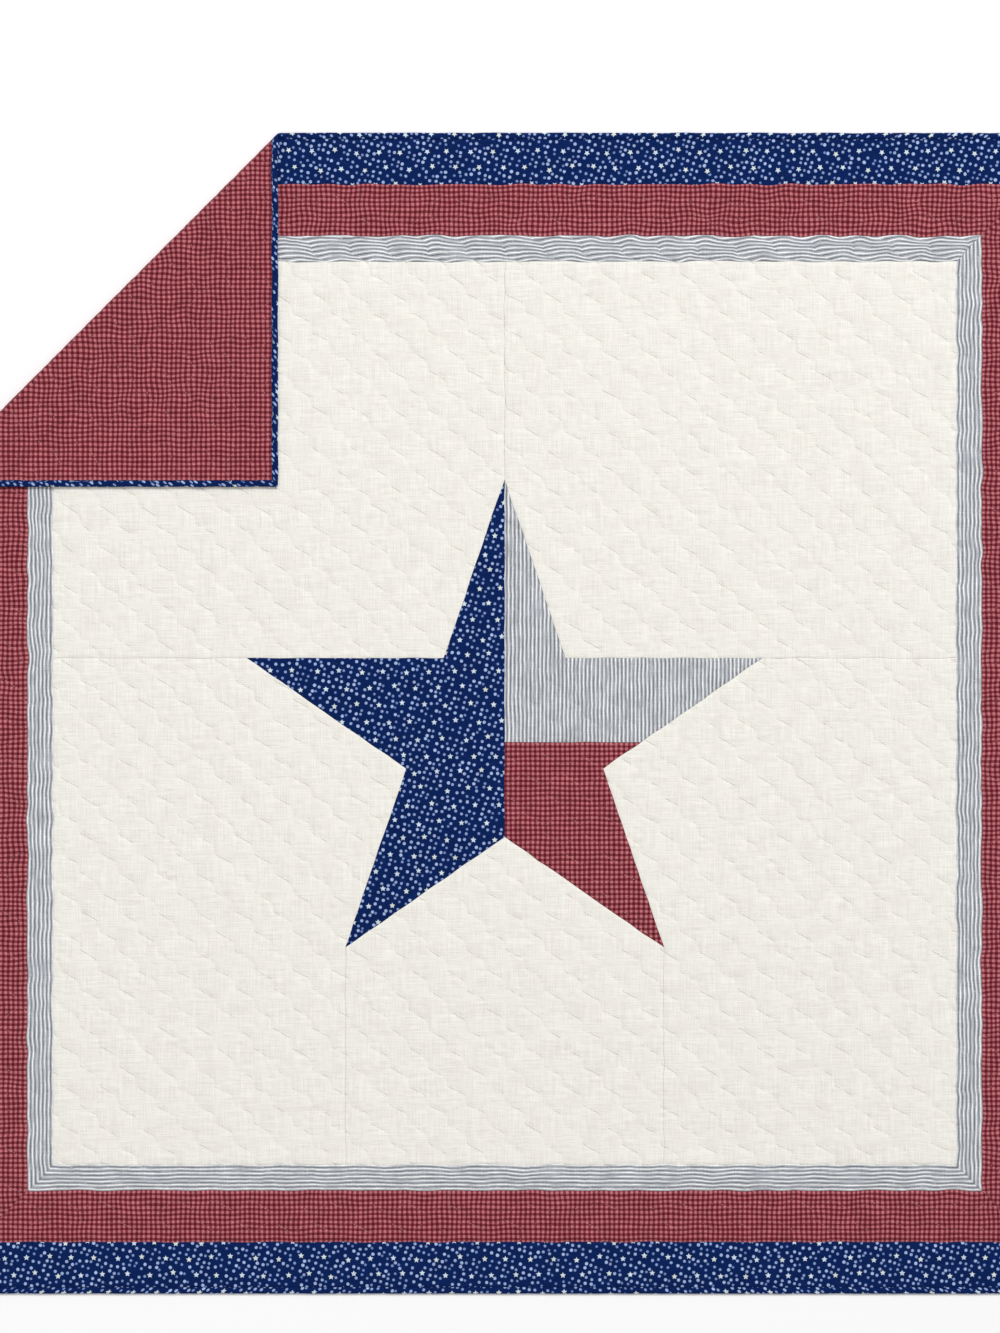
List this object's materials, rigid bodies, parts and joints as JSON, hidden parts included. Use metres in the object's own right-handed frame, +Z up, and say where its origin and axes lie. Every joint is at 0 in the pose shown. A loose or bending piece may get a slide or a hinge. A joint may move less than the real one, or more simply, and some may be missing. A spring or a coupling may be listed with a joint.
{
  "type": "patchwork star quilt blanket, lying flat with one corner folded over",
  "caption": "Square patchwork quilt with a five-point star on a cream field, ticking, red gingham and navy print borders, and one corner folded over its face",
  "frame": {"origin": "middle of the quilt's underside, on the surface that it lies on", "axes": "+Z up through the cloth, +Y towards the top edge and +X towards the right edge of the quilt seen from above"},
  "size_m": [2.2872, 2.2872, 0.0204],
  "materials": {
    "cream_muslin": "woven cotton",
    "navy_star_print": "printed cotton",
    "ticking_stripe": "woven stripe cotton",
    "red_gingham": "woven check cotton"
  },
  "bodies": {
    "root": {"backing": "red_gingham", "binding": "navy_star_print", "border_gingham_bottom": "red_gingham", "border_gingham_left": "red_gingham", "border_gingham_right": "red_gingham", "border_gingham_top": "red_gingham", "border_navy_bottom": "navy_star_print", "border_navy_left": "navy_star_print", "border_navy_right": "navy_star_print", "border_navy_top": "navy_star_print", "border_ticking_bottom": "ticking_stripe", "border_ticking_left": "ticking_stripe", "border_ticking_right": "ticking_stripe", "border_ticking_top": "ticking_stripe", "field_bottom_middle": "cream_muslin", "field_lower_left": "cream_muslin", "field_lower_right": "cream_muslin", "field_upper_left": "cream_muslin", "field_upper_right": "cream_muslin", "star_left_navy": "navy_star_print", "star_lower_right_gingham": "red_gingham", "star_upper_right_ticking": "ticking_stripe"}
  },
  "joints": []
}
